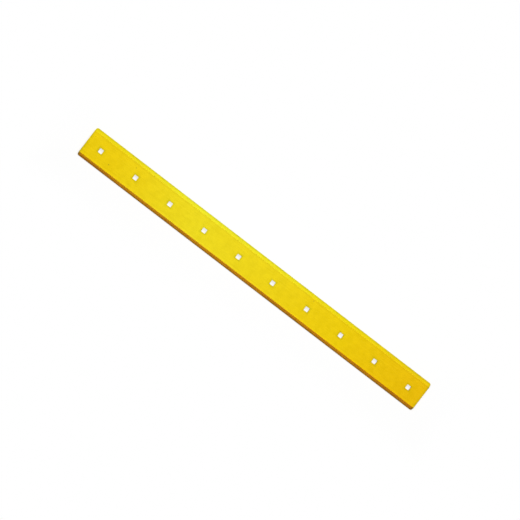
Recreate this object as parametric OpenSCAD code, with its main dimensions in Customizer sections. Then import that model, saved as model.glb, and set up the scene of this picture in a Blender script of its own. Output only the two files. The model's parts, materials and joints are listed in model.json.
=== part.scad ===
// Bolt-on cutting edge for a loader bucket: a flat bar with a bevel along each long edge and one row of
// square bolt holes, countersunk from below for flush bolt heads.
// The bar lies flat with its length along X. The origin is the middle of its underside, and +Z points
// out of the bevelled seat face that is clamped against the bucket.

/* [Bar] */
// Length from end to end
bar_length = 1880; // [600:10:3000]
// Width across both bevels
bar_width = 150; // [110:1:300]
// Thickness from the underside to the seat face
bar_thickness = 20; // [16:1:40]
// Radius of the four corners, seen from above
corner_radius = 8; // [1:0.5:15]

/* [Bevels] */
// Height of the blunt nose below each bevel
nose_height = 3.5; // [2:0.5:10]
// Angle of each bevel below the seat face, in degrees
bevel_angle = 45; // [30:1:60]
// Radius of the rolled edge between the seat face and each bevel
crease_radius = 3; // [0.5:0.5:6]
// Radius of the nose and underside edges
nose_radius = 1; // [0.2:0.1:1.4]

/* [Bolt holes] */
// Distance between neighbouring hole centres
bolt_pitch = 192; // [60:1:400]
// Least distance from an end of the bar to a hole centre
end_margin = 60; // [30:1:150]
// Width of the square neck of the bolts
bolt_neck = 19; // [12:0.1:24]
// Room between the square neck and its hole, over both sides
neck_clearance = 1.6; // [0.4:0.1:3]
// Radius in the corners of each square hole
hole_corner_radius = 2.5; // [0.5:0.1:4]
// Diameter of the countersink where it meets the underside
head_diameter = 36.5; // [32:0.5:50]
// Angle across the cone of the bolt heads, in degrees
head_angle = 80; // [60:1:100]

/* [Hidden] */
$fn = 96;

// How far a cutting shape runs past the surface that it cuts
overrun = 1;

bevel_width = (bar_thickness - nose_height) / tan(bevel_angle);
half_length = bar_length / 2;
half_width = bar_width / 2;
face_half_width = half_width - bevel_width;

hole_side = bolt_neck + neck_clearance;
hole_count = floor((bar_length - 2 * end_margin) / bolt_pitch) + 1;
hole_row_length = (hole_count - 1) * bolt_pitch;

head_slope = tan(head_angle / 2);
cone_tip_radius = hole_side / 4;
cone_depth = (head_diameter / 2 - cone_tip_radius) / head_slope;

// A point at a distance from one point towards another
function towards(start, end, distance) = start + (end - start) * distance / norm(end - start);

// The distance from a corner to where its fillet begins
function setback(before, corner, after, radius) =
  let (
    first = (before - corner) / norm(before - corner),
    second = (after - corner) / norm(after - corner),
    half_angle = acos(first * second) / 2
  )
  radius / tan(half_angle);

// The centre of the fillet in a corner
function fillet_centre(before, corner, after, radius) =
  let (
    reach = setback(before, corner, after, radius),
    middle = (towards(corner, before, reach) + towards(corner, after, reach)) / 2,
    half_chord = norm(towards(corner, before, reach) - middle)
  )
  towards(middle, corner, -sqrt(radius * radius - half_chord * half_chord));

// An outline with a true arc in each corner
module rounded_outline(corners, radii) {
  count = len(corners);
  function before(i) = corners[(i + count - 1) % count];
  function after(i) = corners[(i + 1) % count];
  function reach(i) = setback(before(i), corners[i], after(i), radii[i]);

  polygon([
    for (i = [0 : count - 1])
      each [towards(corners[i], before(i), reach(i)), towards(corners[i], after(i), reach(i))]
  ]);
  for (i = [0 : count - 1])
    translate(fillet_centre(before(i), corners[i], after(i), radii[i]))
      circle(r = radii[i]);
}

// The bar's section, with its width along X and its thickness along Y
module bar_section() {
  rounded_outline(
    corners = [
      [-half_width, 0],
      [half_width, 0],
      [half_width, nose_height],
      [face_half_width, bar_thickness],
      [-face_half_width, bar_thickness],
      [-half_width, nose_height]
    ],
    radii = [nose_radius, nose_radius, nose_radius, crease_radius, crease_radius, nose_radius]
  );
}

// The bar's outline seen from above
module bar_plan() {
  rounded_outline(
    corners = [
      [-half_length, -half_width],
      [half_length, -half_width],
      [half_length, half_width],
      [-half_length, half_width]
    ],
    radii = [for (corner = [1 : 4]) corner_radius]
  );
}

// The bar before its holes are punched: the rolled section, cut to length with dulled corners
module bar_blank() {
  intersection() {
    rotate([90, 0, 90])
      linear_extrude(height = bar_length + 2 * overrun, center = true)
        bar_section();
    translate([0, 0, -overrun])
      linear_extrude(height = bar_thickness + 2 * overrun)
        bar_plan();
  }
}

// The outline of one square hole
module square_hole_outline() {
  straight = hole_side - 2 * hole_corner_radius;
  square([hole_side, straight], center = true);
  square([straight, hole_side], center = true);
  for (x = [-straight / 2, straight / 2], y = [-straight / 2, straight / 2])
    translate([x, y])
      circle(r = hole_corner_radius);
}

// What is cut away for one bolt: its square neck, and its conical head below
module bolt_cut() {
  translate([0, 0, -overrun])
    linear_extrude(height = bar_thickness + 2 * overrun)
      square_hole_outline();
  translate([0, 0, -overrun])
    cylinder(
      r1 = head_diameter / 2 + overrun * head_slope,
      r2 = cone_tip_radius,
      h = cone_depth + overrun
    );
}

module cutting_edge() {
  color("gold")
    difference() {
      bar_blank();
      for (i = [0 : hole_count - 1])
        translate([i * bolt_pitch - hole_row_length / 2, 0, 0])
          bolt_cut();
    }
}

cutting_edge();
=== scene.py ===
import bpy
import json
import math
from mathutils import Matrix, Vector


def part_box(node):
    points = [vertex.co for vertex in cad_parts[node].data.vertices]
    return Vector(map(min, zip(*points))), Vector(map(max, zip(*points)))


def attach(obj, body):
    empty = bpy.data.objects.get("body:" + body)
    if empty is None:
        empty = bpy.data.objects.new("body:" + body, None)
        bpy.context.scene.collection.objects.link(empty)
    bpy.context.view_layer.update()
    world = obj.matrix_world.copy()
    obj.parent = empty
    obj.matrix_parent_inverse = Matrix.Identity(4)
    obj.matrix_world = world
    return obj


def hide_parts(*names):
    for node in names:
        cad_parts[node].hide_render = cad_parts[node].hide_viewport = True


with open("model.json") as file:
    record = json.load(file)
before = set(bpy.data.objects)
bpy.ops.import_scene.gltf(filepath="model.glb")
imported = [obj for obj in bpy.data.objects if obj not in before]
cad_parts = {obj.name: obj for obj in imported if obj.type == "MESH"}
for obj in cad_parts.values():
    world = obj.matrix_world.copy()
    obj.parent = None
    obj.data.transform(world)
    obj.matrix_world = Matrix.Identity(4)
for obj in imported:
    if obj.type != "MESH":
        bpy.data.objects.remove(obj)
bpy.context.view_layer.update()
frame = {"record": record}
scene = bpy.context.scene
scene.view_settings.view_transform = "Standard"

barLow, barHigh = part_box("cutting_edge")
barLength, barWidth, barThickness = barHigh - barLow
holeCentres = [
    mount["pos_m"][0] for mount in frame["record"]["mounts"] if mount["name"].startswith("bolt_hole")
]
print("frame: bar", round(barLength, 4), "by", round(barWidth, 4), "with", len(holeCentres), "holes")


# Modelling helpers

def deselectAll():
    if bpy.context.object and bpy.context.object.mode != "OBJECT":
        bpy.ops.object.mode_set(mode="OBJECT")
    bpy.ops.object.select_all(action="DESELECT")


def makeActive(piece):
    deselectAll()
    piece.select_set(True)
    bpy.context.view_layer.objects.active = piece


def startEdit(piece):  # with nothing selected
    makeActive(piece)
    bpy.ops.object.mode_set(mode="EDIT")
    bpy.ops.mesh.select_mode(type="EDGE")
    bpy.ops.mesh.select_all(action="DESELECT")


def endEdit():
    bpy.ops.object.mode_set(mode="OBJECT")


def applyPlace():
    bpy.ops.object.transform_apply(location=True, rotation=True, scale=True)


def applyModifier(piece, name):
    makeActive(piece)
    bpy.ops.object.modifier_apply(modifier=name)


def addBlock(length, width, height):  # its middle is at half the bar's thickness
    deselectAll()
    bpy.ops.mesh.primitive_cube_add(size=1, location=(0, 0, barThickness / 2))
    block = bpy.context.object
    block.scale = (length, width, height)
    applyPlace()
    return block


def pickEdges(piece, isWanted):  # selects edges by their two ends, and stays in edit mode
    startEdit(piece)
    endEdit()
    corners = piece.data.vertices
    picked = 0
    for edge in piece.data.edges:
        first, second = (corners[i].co for i in edge.vertices)
        edge.select = isWanted(first, second)
        picked += edge.select
    bpy.ops.object.mode_set(mode="EDIT")
    return picked


def bevelPicked(reach, segments):
    bpy.ops.mesh.bevel(offset_type="OFFSET", offset=reach, segments=segments, affect="EDGES")
    endEdit()


def roundEdges(piece, isWanted, reach, segments):
    picked = pickEdges(piece, isWanted)
    bevelPicked(reach, segments)
    return picked


def slicePiece(place, normal, cutAway=False):  # along a plane, in edit mode
    bpy.ops.mesh.select_all(action="SELECT")
    bpy.ops.mesh.bisect(plane_co=place, plane_no=normal, use_fill=cutAway, clear_outer=cutAway)


def combine(piece, other, operation):  # the other one is used up
    join = piece.modifiers.new("combine", "BOOLEAN")
    join.operation = operation
    join.solver = "EXACT"
    join.object = other
    applyModifier(piece, "combine")
    bpy.data.objects.remove(other)


def near(value, target, room=1e-5):
    return abs(value - target) < room


# The bar

bar = {
    "bevelWidth": 0.0165,  # across and down, so the bevels stand at 45 degrees
    "creaseReach": 0.00124,  # a 3 mm radius where a bevel meets the seat face
    "creaseSegments": 5,
    "noseReach": 0.0004,
    "edgeReach": 0.0007,
    "edgeSegments": 3,
    "cornerRadius": 0.008,  # of the four corners seen from above
    "cornerSegments": 8,
    "sharpAngle": 40,  # edges that turn more than this are sharp
    "patchHalf": 0.027,  # half of the square patch that is cut round each hole
    "weldReach": 1e-6,  # points as near as this become one
}


def longEdges(offMiddle, height):  # a test for edges that run along the bar there
    def isThere(a, b):
        inPlace = all(near(abs(p.y), offMiddle) and near(p.z, height) for p in (a, b))
        return inPlace and near(a.y, b.y)

    return isThere


def makeBlank():
    blank = addBlock(barLength, barWidth, barThickness)
    blank.name = "cuttingEdge"
    halfWidth = barWidth / 2
    creaseAt = halfWidth - bar["bevelWidth"]
    noseTop = barThickness - bar["bevelWidth"]
    roundEdges(blank, longEdges(halfWidth, barThickness), bar["bevelWidth"], 1)
    roundEdges(blank, longEdges(creaseAt, barThickness), bar["creaseReach"], bar["creaseSegments"])
    roundEdges(blank, longEdges(halfWidth, noseTop), bar["noseReach"], bar["edgeSegments"])
    return blank


def dullCorners(blank):  # upright cuts along an arc at each corner
    startEdit(blank)
    radius = bar["cornerRadius"]
    step = math.pi / 2 / bar["cornerSegments"]
    for alongSign in (-1, 1):
        for acrossSign in (-1, 1):
            x = alongSign * (barLength / 2 - radius)
            y = acrossSign * (barWidth / 2 - radius)
            for i in range(bar["cornerSegments"]):
                angle = (i + 0.5) * step
                outward = Vector((alongSign * math.cos(angle), acrossSign * math.sin(angle), 0))
                place = Vector((x, y, 0)) + outward * radius * math.cos(step / 2)
                slicePiece(place, outward, cutAway=True)
    endEdit()


def easeSharpEdges(blank):  # rounds the ends, corners and lower edges, which are still sharp
    startEdit(blank)
    bpy.ops.mesh.edges_select_sharp(sharpness=math.radians(bar["sharpAngle"]))
    bevelPicked(bar["edgeReach"], bar["edgeSegments"])


def cutPatches(blank):  # four square patches round each hole keep its rims off the long faces
    startEdit(blank)
    sides = (-bar["patchHalf"], 0, bar["patchHalf"])
    for side in sides:
        slicePiece((0, side, 0), (0, 1, 0))
    for x in holeCentres:
        for side in sides:
            slicePiece((x + side, 0, 0), (1, 0, 0))
    endEdit()


def finishBar(blank):  # comes last, when the holes are in
    startEdit(blank)
    bpy.ops.mesh.select_all(action="SELECT")
    bpy.ops.mesh.remove_doubles(threshold=bar["weldReach"])
    bpy.ops.mesh.normals_make_consistent(inside=False)
    endEdit()
    bpy.ops.object.shade_smooth_by_angle(angle=math.radians(bar["sharpAngle"]))
    weigh = blank.modifiers.new("flatFaces", "WEIGHTED_NORMAL")
    weigh.keep_sharp = True
    applyModifier(blank, "flatFaces")


# The bolt holes

hole = {
    "side": 0.0206,
    "cornerRadius": 0.0025,
    "cornerSegments": 5,
    "headDiameter": 0.0365,
    "headAngle": 80,
    "tipShare": 0.25,  # the cone ends inside the neck, with this share of its side as radius
    "coneSides": 72,
    "overrun": 0.002,  # how far a cutter runs past the surface
    "rimReach": 0.0007,
    "rimRoom": 1e-4,  # how far past the square its rim edges may lie
    "mouthReach": 0.0005,
    "mouthRoom": 2e-4,  # how far off the circle its mouth edges may lie
}


def makeNeckCutter():
    cutter = addBlock(hole["side"], hole["side"], barThickness + 2 * hole["overrun"])

    def isUpright(a, b):
        return near(a.x, b.x) and near(a.y, b.y)

    roundEdges(cutter, isUpright, hole["cornerRadius"], hole["cornerSegments"])
    return cutter


def makeHeadCutter():
    deselectAll()
    slope = math.tan(math.radians(hole["headAngle"] / 2))
    tipRadius = hole["side"] * hole["tipShare"]
    depth = (hole["headDiameter"] / 2 - tipRadius) / slope
    bpy.ops.mesh.primitive_cone_add(
        vertices=hole["coneSides"],
        radius1=hole["headDiameter"] / 2 + hole["overrun"] * slope,
        radius2=tipRadius,
        depth=depth + hole["overrun"],
        location=(0, 0, (depth - hole["overrun"]) / 2),
        rotation=(0, 0, math.pi / hole["coneSides"]),  # the patches meet at the middle of a side
    )
    cutter = bpy.context.object
    applyPlace()
    return cutter


def makeBoltCutter():  # what one bolt takes away: its square neck, and its conical head below
    cutter = makeNeckCutter()
    combine(cutter, makeHeadCutter(), "UNION")
    return cutter


def repeatAtHoles(cutter):  # one joined cutter with a copy at each hole
    copies = []
    for x in holeCentres:
        copy = cutter.copy()
        copy.data = cutter.data.copy()
        copy.location = (x, 0, 0)
        scene.collection.objects.link(copy)
        copies.append(copy)
    bpy.data.objects.remove(cutter)
    deselectAll()
    for copy in copies:
        copy.select_set(True)
    bpy.context.view_layer.objects.active = copies[0]
    bpy.ops.object.join()
    joined = bpy.context.object
    applyPlace()
    return joined


def offsetFromHole(point):  # the nearest hole's axis is at zero
    x = min((point.x - centre for centre in holeCentres), key=abs)
    return Vector((x, point.y))


def roundHoleRims(blank):
    squareReach = hole["side"] / 2 + hole["rimRoom"]
    mouthRadius = hole["headDiameter"] / 2

    def isRim(a, b):
        inHole = all(max(map(abs, offsetFromHole(p))) < squareReach for p in (a, b))
        return inHole and near(a.z, barThickness) and near(b.z, barThickness)

    def isMouth(a, b):
        onCircle = all(near(offsetFromHole(p).length, mouthRadius, hole["mouthRoom"]) for p in (a, b))
        return onCircle and near(a.z, 0) and near(b.z, 0)

    rims = roundEdges(blank, isRim, hole["rimReach"], bar["edgeSegments"])
    mouths = roundEdges(blank, isMouth, hole["mouthReach"], bar["edgeSegments"])
    print("holes: rim edges", rims, "mouth edges", mouths)


# Putting the bar together

cuttingEdge = makeBlank()
dullCorners(cuttingEdge)
easeSharpEdges(cuttingEdge)
cutPatches(cuttingEdge)
combine(cuttingEdge, repeatAtHoles(makeBoltCutter()), "DIFFERENCE")
roundHoleRims(cuttingEdge)
finishBar(cuttingEdge)
print("bar: faces", len(cuttingEdge.data.polygons))


# Node helpers

def linear(red, green, blue):  # a colour from 0 to 255 in shader values, by the sRGB curve
    def channel(value):
        value = value / 255
        return value / 12.92 if value <= 0.04045 else ((value + 0.055) / 1.055) ** 2.4

    return (channel(red), channel(green), channel(blue), 1)


def clearTree(owner):  # the empty node tree of a material or the world
    owner.use_nodes = True
    owner.node_tree.nodes.clear()
    return owner.node_tree


def addNode(tree, kind, inputs=None, **settings):  # an input is a socket to link or a value to set
    node = tree.nodes.new(kind)
    for name, value in settings.items():
        setattr(node, name, value)
    for key, value in (inputs or {}).items():
        if isinstance(value, bpy.types.NodeSocket):
            tree.links.new(value, node.inputs[key])
        else:
            node.inputs[key].default_value = value
    return node


def calc(tree, operation, first, second=0.0, third=0.0):
    node = addNode(tree, "ShaderNodeMath", {0: first, 1: second, 2: third}, operation=operation)
    return node.outputs[0]


def gap(tree, value, target):  # how far a value is from its target
    return calc(tree, "ABSOLUTE", calc(tree, "SUBTRACT", value, target))


# The spans in the dictionaries below say where a fade starts and where it is full,
# and those with four numbers end with the two values that it fades between.
def ramp(tree, value, fromLow, fromHigh, toLow=0.0, toHigh=1.0, shape="SMOOTHSTEP"):
    node = addNode(
        tree,
        "ShaderNodeMapRange",
        {"Value": value, "From Min": fromLow, "From Max": fromHigh, "To Min": toLow, "To Max": toHigh},
        interpolation_type=shape,
    )
    return node.outputs["Result"]


def band(tree, value, fadeIn, fadeOut):  # one between the two fades
    return calc(tree, "MULTIPLY", ramp(tree, value, *fadeIn), ramp(tree, value, *fadeOut))


def noise(tree, place, scale, detail=3.0, stretch=None):
    if stretch:
        place = addNode(tree, "ShaderNodeMapping", {"Vector": place, "Scale": stretch}).outputs[0]
    node = addNode(tree, "ShaderNodeTexNoise", {"Vector": place, "Scale": scale, "Detail": detail})
    return node.outputs["Fac"]


def aboutZero(tree, noiseValue):  # a noise lies about a half
    return calc(tree, "SUBTRACT", noiseValue, 0.5)


def split(tree, vector):
    return addNode(tree, "ShaderNodeSeparateXYZ", {0: vector}).outputs


def mixColour(tree, share, first, second, blend="MIX"):
    inputs = {0: share, 6: first, 7: second}  # the mix node's colour sockets
    return addNode(tree, "ShaderNodeMix", inputs, data_type="RGBA", blend_type=blend).outputs[2]


def scaleColour(tree, colour, factor):  # makes it lighter or darker
    grey = addNode(tree, "ShaderNodeCombineColor", {0: factor, 1: factor, 2: factor}).outputs[0]
    return mixColour(tree, 1.0, colour, grey, "MULTIPLY")


def stain(tree, colour, mask, share, tint):
    return mixColour(tree, calc(tree, "MULTIPLY", mask, share), colour, tint)


def mixShader(tree, share, first, second):
    return addNode(tree, "ShaderNodeMixShader", {0: share, 1: first.outputs[0], 2: second.outputs[0]})


def newGroup(name, values, results):  # it takes a place and some values
    tree = bpy.data.node_groups.new(name, "ShaderNodeTree")
    tree.interface.new_socket("Place", in_out="INPUT", socket_type="NodeSocketVector")
    for label in values:
        tree.interface.new_socket(label, in_out="INPUT", socket_type="NodeSocketFloat")
    for label, kind in results.items():
        tree.interface.new_socket(label, in_out="OUTPUT", socket_type="NodeSocket" + kind)
    return tree, tree.nodes.new("NodeGroupInput").outputs


def endGroup(tree, results):
    addNode(tree, "NodeGroupOutput", results)
    return tree


def useGroup(tree, group, place, values):
    return addNode(tree, "ShaderNodeGroup", {"Place": place, **values}, node_tree=group).outputs


# Effects that every coat uses

lightDriftAndMottleLook = {  # painted light: the coat's colour drifts along the bar, lemon where a lamp's sheen fell and darker and more orange towards +X where the light fell off
    "stops": [  # places from 0 to 1, and the colour there
        (0.08, linear(237, 205, 5)),
        (0.32, linear(236, 217, 26)),
        (0.75, linear(235, 202, 0)),
        (1.00, linear(233, 187, 0)),
    ],
    "wander": {"scale": 5},  # moves the colours to and fro
    "wanderShare": 0.16,
    # the mottle is the coat's own uneven tone
    "mottle": {"scale": 38, "detail": 5},
    "mottleSpan": (0.3, 0.7),
}


def makeLightDriftAndMottleGroup():
    tree, given = newGroup("paintedLightDriftAndMottle", ["Mottle Share"], {"Color": "Color", "Mottle": "Float"})
    place = given["Place"]
    along = ramp(tree, split(tree, place)["X"], -barLength / 2, barLength / 2, shape="LINEAR")
    wander = aboutZero(tree, noise(tree, place, **lightDriftAndMottleLook["wander"]))
    wandering = calc(tree, "MULTIPLY_ADD", wander, lightDriftAndMottleLook["wanderShare"], along)
    # Painted light: this colour ramp along the bar stands for the lamps' sheen and falloff
    colours = addNode(tree, "ShaderNodeValToRGB", {"Fac": wandering})
    stops = colours.color_ramp.elements
    while len(stops) < len(lightDriftAndMottleLook["stops"]):
        stops.new(0.5)
    for stop, (position, colour) in zip(stops, lightDriftAndMottleLook["stops"]):
        stop.position = position
        stop.color = colour
    mottle = noise(tree, place, **lightDriftAndMottleLook["mottle"])
    lighter = ramp(tree, mottle, *lightDriftAndMottleLook["mottleSpan"], -1, 1)
    lighter = calc(tree, "MULTIPLY_ADD", lighter, given["Mottle Share"], 1)
    colour = scaleColour(tree, colours.outputs["Color"], lighter)
    return endGroup(tree, {"Color": colour, "Mottle": mottle})


grainLook = {
    "rollMarks": {"scale": 160, "detail": 4, "stretch": (0.06, 1, 1)},
    "pits": {"scale": 90, "detail": 6},
    "orangePeel": {"scale": 420, "detail": 2},
}


def makeGrainGroup():
    tree, given = newGroup("rolledGrain", ["Roll", "Peel"], {"Height": "Float"})
    place = given["Place"]
    rollMarks = noise(tree, place, **grainLook["rollMarks"])
    pits = noise(tree, place, **grainLook["pits"])
    orangePeel = noise(tree, place, **grainLook["orangePeel"])
    height = calc(tree, "MULTIPLY", calc(tree, "ADD", rollMarks, pits), given["Roll"])
    return endGroup(tree, {"Height": calc(tree, "MULTIPLY_ADD", orangePeel, given["Peel"], height)})


rubAndShadeLook = {
    "mouthSlope": 5,  # how fast the wear and painted shade round a hole's mouth fade above the underside
    "holeMargin": 0.0015,  # holes get less wear and shade than the outside
    "ragged": {"scale": 75, "detail": 5},
    "flakes": {"scale": 230, "detail": 6},
    "edgeFlakes": 0.24,  # how much more comes off at an edge
    "chipSpan": (0.795, 0.81),
    "bareSpan": (0.85, 0.88),
}


def makeRubAndShadeGroup():  # worn and shaded edges: rub is one at an edge and zero farther off than the reach; its darkening is thin worn paint, and in part painted shade along the edges
    tree, given = newGroup(
        "edgeRubAndShade",
        ["Reach", "Chip Reach", "Ragged", "End Face"],
        {"Rub And Shade": "Float", "Chips": "Float", "Bare": "Float"},
    )
    place = given["Place"]
    x, y, z = split(tree, place)
    acrossBar = calc(tree, "ABSOLUTE", y)
    # How far it is to the outside edges, which on an end face are above and below too
    toNose = calc(tree, "SUBTRACT", barWidth / 2, acrossBar)
    toEnd = calc(tree, "SUBTRACT", barLength / 2, calc(tree, "ABSOLUTE", x))
    toTopOrBottom = calc(tree, "MINIMUM", z, calc(tree, "SUBTRACT", barThickness, z))
    toEnd = calc(tree, "MULTIPLY_ADD", toTopOrBottom, given["End Face"], toEnd)
    toOutside = calc(tree, "MINIMUM", toNose, toEnd)
    # How far it is to the nearest hole's square rim, or its round mouth on the underside
    pitch = holeCentres[1] - holeCentres[0]
    fromHole = calc(tree, "WRAP", calc(tree, "SUBTRACT", x, holeCentres[0]), pitch / 2, -pitch / 2)
    squareReach = calc(tree, "MAXIMUM", calc(tree, "ABSOLUTE", fromHole), acrossBar)
    toRim = gap(tree, squareReach, hole["side"] / 2)
    acrossSquared = calc(tree, "MULTIPLY", acrossBar, acrossBar)
    roundReach = calc(tree, "SQRT", calc(tree, "MULTIPLY_ADD", fromHole, fromHole, acrossSquared))
    toMouth = gap(tree, roundReach, hole["headDiameter"] / 2)
    toMouth = calc(tree, "MULTIPLY_ADD", z, rubAndShadeLook["mouthSlope"], toMouth)
    toHole = calc(tree, "ADD", calc(tree, "MINIMUM", toRim, toMouth), rubAndShadeLook["holeMargin"])
    # The wear and painted shade follow the nearest of these along a ragged line
    nearest = calc(tree, "MINIMUM", toOutside, toHole)
    ragged = aboutZero(tree, noise(tree, place, **rubAndShadeLook["ragged"]))
    nearest = calc(tree, "MULTIPLY_ADD", ragged, given["Ragged"], nearest)
    atEdge = ramp(tree, nearest, given["Chip Reach"], 0)
    flakes = noise(tree, place, **rubAndShadeLook["flakes"])
    flakes = calc(tree, "MULTIPLY_ADD", atEdge, rubAndShadeLook["edgeFlakes"], flakes)
    results = {
        "Rub And Shade": ramp(tree, nearest, given["Reach"], 0),
        "Chips": ramp(tree, flakes, *rubAndShadeLook["chipSpan"]),
        "Bare": ramp(tree, flakes, *rubAndShadeLook["bareSpan"]),
    }
    return endGroup(tree, results)


lightDriftAndMottleGroup = makeLightDriftAndMottleGroup()
grainGroup = makeGrainGroup()
rubAndShadeGroup = makeRubAndShadeGroup()


# Coats

paint = {  # what the coats share
    # the rub's greenish darker colour: thin worn paint, and in part painted shade along the edges
    "rubbedAndShaded": linear(150, 156, 10),
    "rubbedWarm": linear(164, 126, 14),  # on the cut ends and the underside
    "undercoat": linear(108, 98, 34),
    "chipShare": 0.6,  # how much of the undercoat a chip shows
    "steel": linear(92, 86, 72),
    "bareShare": 0.8,
    "specular": 0.06,
    "bumpStrength": 0.8,
    "bumpDepth": 0.0015,
}


def startCoat(name, look):  # with the colour and its painted light drift, the worn edges with their painted shade, and the grain that every coat starts from
    material = bpy.data.materials.new(name)
    tree = clearTree(material)
    place = addNode(tree, "ShaderNodeTexCoord").outputs["Object"]
    lightDriftAndMottle = useGroup(tree, lightDriftAndMottleGroup, place, {"Mottle Share": look["mottleShare"]})
    coat = {
        "colour": lightDriftAndMottle["Color"],
        "wornAndShaded": useGroup(tree, rubAndShadeGroup, place, look["wearAndShade"]),
        "roughness": ramp(tree, lightDriftAndMottle["Mottle"], *lightDriftAndMottleLook["mottleSpan"], *look["roughness"]),
        "height": useGroup(tree, grainGroup, place, look["grain"])["Height"],
    }
    return material, tree, place, coat


def wearAndShadeCoat(tree, colour, wornAndShaded, rubAndShadeShare, rubbedAndShaded):  # thins the coat and paints shade along its edges, then chips it to the steel
    colour = stain(tree, colour, wornAndShaded["Rub And Shade"], rubAndShadeShare, rubbedAndShaded)
    colour = stain(tree, colour, wornAndShaded["Chips"], paint["chipShare"], paint["undercoat"])
    return stain(tree, colour, wornAndShaded["Bare"], paint["bareShare"], paint["steel"])


def finishCoat(tree, colour, roughness, height):
    relief = {"Height": height, "Strength": paint["bumpStrength"], "Distance": paint["bumpDepth"]}
    bump = addNode(tree, "ShaderNodeBump", relief)
    shader = addNode(
        tree,
        "ShaderNodeBsdfPrincipled",
        {
            "Base Color": colour,
            "Roughness": roughness,
            "Specular IOR Level": paint["specular"],
            "Normal": bump.outputs[0],
        },
    )
    addNode(tree, "ShaderNodeOutputMaterial", {"Surface": shader.outputs[0]})


creaseLook = {  # painted light on the seat face along the creases, placed by their distance off its middle
    "lineIn": (0.048, 0.053),
    "lineOut": (0.058, 0.054),
    "lineFacing": (0.8, 0.95),
    "highlightAndShade": (-0.01, 0.01, 0.05, -0.06),  # a painted highlight towards -Y, and painted shade towards +Y
    "warm": (1.085, 1.01, 1.5, 1),  # painted light: lighter and warmer along the crease above the bevel painted in shade
    "warmIn": (-0.0535, -0.0565),
    "warmOut": (-0.0625, -0.06),
    "warmFacing": (0, 0.5),
}


def paintCreaseHighlightAndShade(tree, colour, across, facingUp):
    # A painted highlight beside the crease towards -Y, and painted shade beside the crease towards +Y
    line = band(tree, calc(tree, "ABSOLUTE", across), creaseLook["lineIn"], creaseLook["lineOut"])
    line = calc(tree, "MULTIPLY", line, ramp(tree, facingUp, *creaseLook["lineFacing"]))
    lift = ramp(tree, across, *creaseLook["highlightAndShade"])
    return scaleColour(tree, colour, calc(tree, "MULTIPLY_ADD", line, lift, 1))


def lightenShadedCrease(tree, colour, across, facingUp):
    # Painted light: a lighter, warmer strip on the crease where the seat face turns into the shaded
    # bevel towards -Y
    warm = band(tree, across, creaseLook["warmIn"], creaseLook["warmOut"])
    warm = calc(tree, "MULTIPLY", warm, ramp(tree, facingUp, *creaseLook["warmFacing"]))
    return mixColour(tree, warm, colour, creaseLook["warm"], "MULTIPLY")


shadedBevelLook = {  # painted shade: the bevel towards -Y faces away from the key lamp, and its coat takes the amber and brown of that shade
    "facing": (-0.5, -0.7),
    "amber": linear(237, 152, 2),
    "umber": linear(223, 140, 6),
    "patches": {"scale": 22, "detail": 4, "stretch": (0.5, 1, 1)},
    "streaks": {"scale": 300, "detail": 3, "stretch": (0.04, 1, 1)},
    "umberSpan": (0.85, 1.15),
    "brown": linear(178, 90, 3),
    "noseBrown": (0.066, 0.073, 0, 0.8),  # painted shade, darkest at the nose, by the distance off the bar's middle
    "noseWander": 0.01,
    "farBrown": (0.3, 0.95, 0, 0.3),  # painted shade, darker towards +X where the light fell off, by the place along the bar
    "yellowLeft": (-0.85, -0.05, 0.8, 0.25),  # how much yellow is left at the crease, along the bar
    "yellowFade": (0.0632, 0.059),  # by the distance off the middle
    # painted shade, darkest where the bevel meets the ends
    "endBrown": linear(104, 62, 8),
    "endSpan": (0.929, 0.939, 0, 0.75),
}


def paintedBevelShade(tree, place, yellow):
    along, across, _ = split(tree, place)
    offMiddle = calc(tree, "ABSOLUTE", across)
    patches = noise(tree, place, **shadedBevelLook["patches"])
    streaks = noise(tree, place, **shadedBevelLook["streaks"])
    uneven = ramp(tree, calc(tree, "ADD", patches, streaks), *shadedBevelLook["umberSpan"])
    colour = mixColour(tree, uneven, shadedBevelLook["amber"], shadedBevelLook["umber"])
    toNose = calc(tree, "MULTIPLY_ADD", aboutZero(tree, patches), shadedBevelLook["noseWander"], offMiddle)
    atNose = ramp(tree, toNose, *shadedBevelLook["noseBrown"])
    toBrown = calc(tree, "MAXIMUM", atNose, ramp(tree, along, *shadedBevelLook["farBrown"]))
    colour = mixColour(tree, toBrown, colour, shadedBevelLook["brown"])
    yellowLeft = ramp(tree, along, *shadedBevelLook["yellowLeft"])
    atCrease = ramp(tree, offMiddle, *shadedBevelLook["yellowFade"], 0, yellowLeft)
    colour = mixColour(tree, atCrease, colour, yellow)
    atEnd = ramp(tree, calc(tree, "ABSOLUTE", along), *shadedBevelLook["endSpan"])
    return mixColour(tree, atEnd, colour, shadedBevelLook["endBrown"])


nicks = {  # small chips in the coat of the seat face
    "places": [  # each with its radius
        ((-0.800, -0.0266, 0.020), 0.0042),
        ((-0.695, 0.0364, 0.020), 0.0036),
        ((-0.609, 0.0570, 0.020), 0.0040),
        ((0.291, 0.0485, 0.020), 0.0034),
    ],
    "core": 0.4,  # the part of the radius where the mark is full
    "share": 0.42,
}


def nickMask(tree, place):
    nicked = 0.0
    for centre, radius in nicks["places"]:
        away = addNode(tree, "ShaderNodeVectorMath", {0: place, 1: centre}, operation="DISTANCE")
        mark = ramp(tree, away.outputs["Value"], radius, radius * nicks["core"])
        nicked = calc(tree, "MAXIMUM", nicked, mark)
    return nicked


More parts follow.
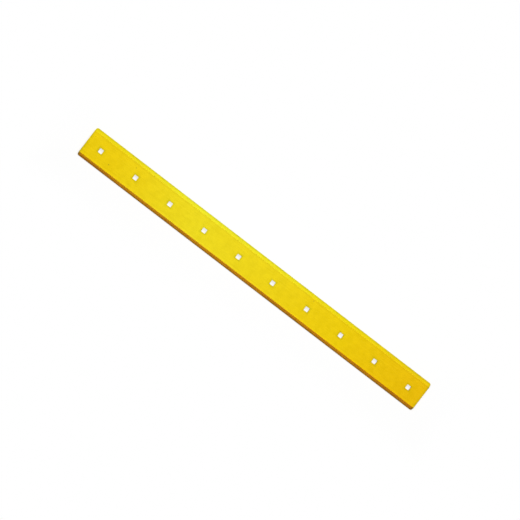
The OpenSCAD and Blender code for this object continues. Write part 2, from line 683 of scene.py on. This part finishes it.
enamelLook = {
    "mottleShare": 0.035,
    "wearAndShade": {"Reach": 0.013, "Chip Reach": 0.004, "Ragged": 0.016},
    "rubAndShadeShare": 0.36,
    "belowFacing": (-0.3, -0.7),  # the underside's rub takes the warmer colour
    "roughness": (0.34, 0.5),
    "chipRoughness": 0.2,  # what a chip adds
    "grain": {"Roll": 0.4, "Peel": 0.2},
    "chipDepth": 0.3,
    "litBevelLemon": (0.89, 0.995, 1.5, 1),  # painted light: turns the coat lemon on the bevel towards +Y, which faces the key lamp
    "litBevelFacing": (0.15, 0.6),
    "scuffs": {"scale": 620, "detail": 2, "stretch": (0.03, 1, 1)},
    "scuffSpan": (0.66, 0.74),
    "scuffShare": 0.16,
}


def makeYellowEnamel():
    material, tree, place, coat = startCoat("yellowEnamel", enamelLook)
    _, facingSide, facingUp = split(tree, addNode(tree, "ShaderNodeNewGeometry").outputs["Normal"])
    across = split(tree, place)["Y"]
    # Painted light: the bevel that faces the key lamp is tinted lemon
    onLitBevel = ramp(tree, facingSide, *enamelLook["litBevelFacing"])
    colour = mixColour(tree, onLitBevel, coat["colour"], enamelLook["litBevelLemon"], "MULTIPLY")
    # Painted highlight and painted shade along the creases
    colour = paintCreaseHighlightAndShade(tree, colour, across, facingUp)
    # Painted shade: the bevel towards -Y is coloured as it looks in shade
    onShadedBevel = ramp(tree, facingSide, *shadedBevelLook["facing"])
    colour = mixColour(tree, onShadedBevel, colour, paintedBevelShade(tree, place, coat["colour"]))
    # Painted light along the crease towards -Y
    colour = lightenShadedCrease(tree, colour, across, facingUp)
    scuffs = ramp(tree, noise(tree, place, **enamelLook["scuffs"]), *enamelLook["scuffSpan"])
    colour = stain(tree, colour, scuffs, enamelLook["scuffShare"], paint["undercoat"])
    below = ramp(tree, facingUp, *enamelLook["belowFacing"])
    rubbedAndShaded = mixColour(tree, below, paint["rubbedAndShaded"], paint["rubbedWarm"])
    # Worn edges with painted shade, then chips and bare steel
    colour = wearAndShadeCoat(tree, colour, coat["wornAndShaded"], enamelLook["rubAndShadeShare"], rubbedAndShaded)
    nicked = nickMask(tree, place)
    colour = stain(tree, colour, nicked, nicks["share"], paint["undercoat"])
    chips = calc(tree, "MAXIMUM", coat["wornAndShaded"]["Chips"], nicked)
    roughness = calc(tree, "MULTIPLY_ADD", chips, enamelLook["chipRoughness"], coat["roughness"])
    height = calc(tree, "MULTIPLY_ADD", chips, -enamelLook["chipDepth"], coat["height"])
    finishCoat(tree, colour, roughness, height)
    return material


holeLook = {
    "mottleShare": 0.1,
    "wearAndShade": {"Reach": 0.004, "Chip Reach": 0.003, "Ragged": 0.008},
    "rubAndShadeShare": 0.3,
    "roughness": (0.5, 0.66),
    "grain": {"Roll": 0.5, "Peel": 0.3},
    "bare": {"scale": 260, "detail": 5},  # where the coat is thin over the steel
    "bareSpan": (0.52, 0.64, 0, 0.5),
    "wallFacing": 0.8,  # a hole's faces look up or down less than this
}


def makeHoleCoat():
    material, tree, place, coat = startCoat("holeCoat", holeLook)
    bare = ramp(tree, noise(tree, place, **holeLook["bare"]), *holeLook["bareSpan"])
    colour = mixColour(tree, bare, coat["colour"], paint["steel"])
    colour = wearAndShadeCoat(tree, colour, coat["wornAndShaded"], holeLook["rubAndShadeShare"], paint["rubbedAndShaded"])
    finishCoat(tree, colour, coat["roughness"], coat["height"])
    return material


endLook = {
    "mottleShare": 0.08,
    "wearAndShade": {"Reach": 0.005, "Chip Reach": 0.003, "Ragged": 0.008, "End Face": 1},
    "rubAndShadeShare": 0.3,
    "roughness": (0.44, 0.6),
    "grain": {"Roll": 0.15, "Peel": 0.2},
    "dragLines": {"scale": 480, "detail": 3, "stretch": (1, 1, 0.07)},
    "hollowSpan": (0.5, 0.36, 0, 0.3),
    "facing": 0.9,  # an end's faces look along the bar more than this
    "depth": 0.002,  # and lie within this of the end
}


def makeCutEnd():  # the ends are cut to length, and show the cut's drag lines under the coat
    material, tree, place, coat = startCoat("cutEnd", endLook)
    dragLines = noise(tree, place, **endLook["dragLines"])
    hollows = ramp(tree, dragLines, *endLook["hollowSpan"])
    colour = mixColour(tree, hollows, coat["colour"], paint["rubbedWarm"])
    colour = wearAndShadeCoat(tree, colour, coat["wornAndShaded"], endLook["rubAndShadeShare"], paint["rubbedWarm"])
    finishCoat(tree, colour, coat["roughness"], calc(tree, "ADD", dragLines, coat["height"]))
    return material


yellowEnamel = makeYellowEnamel()
holeCoat = makeHoleCoat()
cutEnd = makeCutEnd()
coats = [yellowEnamel, holeCoat, cutEnd]


def paintFaces(piece):  # the enamel comes first, so it is on every other face
    for coat in coats:
        piece.data.materials.append(coat)
    for face in piece.data.polygons:
        inHole = offsetFromHole(face.center).length < hole["headDiameter"] / 2
        atEnd = abs(face.center.x) > barLength / 2 - endLook["depth"]
        if inHole and abs(face.normal.z) < holeLook["wallFacing"]:
            face.material_index = coats.index(holeCoat)
        elif atEnd and abs(face.normal.x) > endLook["facing"]:
            face.material_index = coats.index(cutEnd)


paintFaces(cuttingEdge)
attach(cuttingEdge, "root")
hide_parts("cutting_edge")
print("paint:", ", ".join(coat.name for coat in coats))


# Floor, light and camera

stage = {
    "white": (1, 1, 1, 1),
    "floorSide": 24.0,
    "floorDrop": 0.0002,
    "floorGlow": 0.78,  # how much of the floor is plain white to the camera beside the bar
    "glowReach": (0.09, 0.3),  # it is all plain white farther off
    "touchLength": 0.0008,  # rays as short as this run between the underside and the floor
    "ambient": 0.18,
}

lamps = {
    "key": {
        "toward": (0, 0.5, 0.866),  # the direction from the bar's middle
        "distance": 6.0,
        "size": (4, 3),
        "power": 364,
        "colour": (1, 1, 1),
    },
    "fill": {
        "toward": (0, -0.9, 0.43),
        "distance": 4.0,
        "size": (4, 2),
        "power": 13,
        "colour": (1, 0.85, 0.65),
    },
    "below": {
        "toward": (0, 0, -1),
        "distance": 3.0,
        "size": (4, 4),
        "power": 80,
        "colour": (1, 1, 1),
    },
}

view = {
    "distance": 6.0,  # from the seat face
    "width": 2.3145,  # what the frame takes in at the seat face
    "target": (-0.0117, 0.0477),  # the point of the seat face in the frame's middle
    "roll": 37.57,
    "lean": -2.72,  # brings the end at -X a little nearer
    "sensor": 36.0,
}


def seenRays(tree, paths):  # one for the camera, and for what a reflection or glass shows
    seen = calc(tree, "MAXIMUM", paths["Is Camera Ray"], paths["Is Glossy Ray"])
    return calc(tree, "MAXIMUM", seen, paths["Is Transmission Ray"])


def makePaleFloor():
    material = bpy.data.materials.new("paleFloor")
    tree = clearTree(material)
    paths = addNode(tree, "ShaderNodeLightPath").outputs
    seen = seenRays(tree, paths)
    # To the camera the floor is plain white, and keeps a part of the shadow beside the bar
    along, across, _ = split(tree, addNode(tree, "ShaderNodeTexCoord").outputs["Object"])
    pastEnd = calc(tree, "SUBTRACT", calc(tree, "ABSOLUTE", along), (barLength - barWidth) / 2)
    away = calc(tree, "MAXIMUM", calc(tree, "ABSOLUTE", across), pastEnd)
    plainWhite = ramp(tree, away, *stage["glowReach"], stage["floorGlow"], 1)
    matt = addNode(tree, "ShaderNodeBsdfDiffuse", {"Color": stage["white"]})
    glow = addNode(tree, "ShaderNodeEmission", {"Color": stage["white"], "Strength": 1.0})
    surface = mixShader(tree, calc(tree, "MULTIPLY", seen, plainWhite), matt, glow)
    # From below, the floor is clear, and light passes it to reach the underside
    behind = addNode(tree, "ShaderNodeNewGeometry").outputs["Backfacing"]
    touching = calc(tree, "LESS_THAN", paths["Ray Length"], stage["touchLength"])
    touching = calc(tree, "MULTIPLY", touching, calc(tree, "SUBTRACT", 1, seen))
    clear = addNode(tree, "ShaderNodeBsdfTransparent")
    both = mixShader(tree, calc(tree, "MAXIMUM", behind, touching), surface, clear)
    addNode(tree, "ShaderNodeOutputMaterial", {"Surface": both.outputs[0]})
    return material


def makeFloor():
    deselectAll()
    bpy.ops.mesh.primitive_plane_add(size=stage["floorSide"], location=(0, 0, -stage["floorDrop"]))
    floor = bpy.context.object
    floor.name = "floor"
    floor.data.materials.append(makePaleFloor())


def makeWorld():
    world = bpy.data.worlds.new("studio")
    scene.world = world
    tree = clearTree(world)
    seen = seenRays(tree, addNode(tree, "ShaderNodeLightPath").outputs)
    strength = ramp(tree, seen, 0, 1, stage["ambient"], 1.0)
    sky = addNode(tree, "ShaderNodeBackground", {"Color": stage["white"], "Strength": strength})
    addNode(tree, "ShaderNodeOutputWorld", {"Surface": sky.outputs[0]})


def makeLamp(name, given):
    lamp = bpy.data.lights.new(name, "AREA")
    lamp.shape = "RECTANGLE"
    lamp.size, lamp.size_y = given["size"]
    lamp.energy = given["power"]
    lamp.color = given["colour"]
    holder = bpy.data.objects.new(name, lamp)
    scene.collection.objects.link(holder)
    holder.location = Vector(given["toward"]).normalized() * given["distance"]
    holder.rotation_euler = holder.location.to_track_quat("Z", "Y").to_euler()
    holder.visible_camera = False


def makeCamera():
    camera = bpy.data.cameras.new("camera")
    camera.sensor_width = view["sensor"]
    camera.lens = view["sensor"] * view["distance"] / view["width"]
    holder = bpy.data.objects.new("camera", camera)
    scene.collection.objects.link(holder)
    lean = Matrix.Rotation(math.radians(view["lean"]), 4, "Y")
    roll = Matrix.Rotation(math.radians(view["roll"]), 4, "Z")
    target = Matrix.Translation((*view["target"], barThickness))
    holder.matrix_world = target @ lean @ roll @ Matrix.Translation((0, 0, view["distance"]))
    scene.camera = holder


makeFloor()
makeWorld()
for lampName, lampValues in lamps.items():
    makeLamp(lampName, lampValues)
makeCamera()
print("stage: floor, lamps and camera")
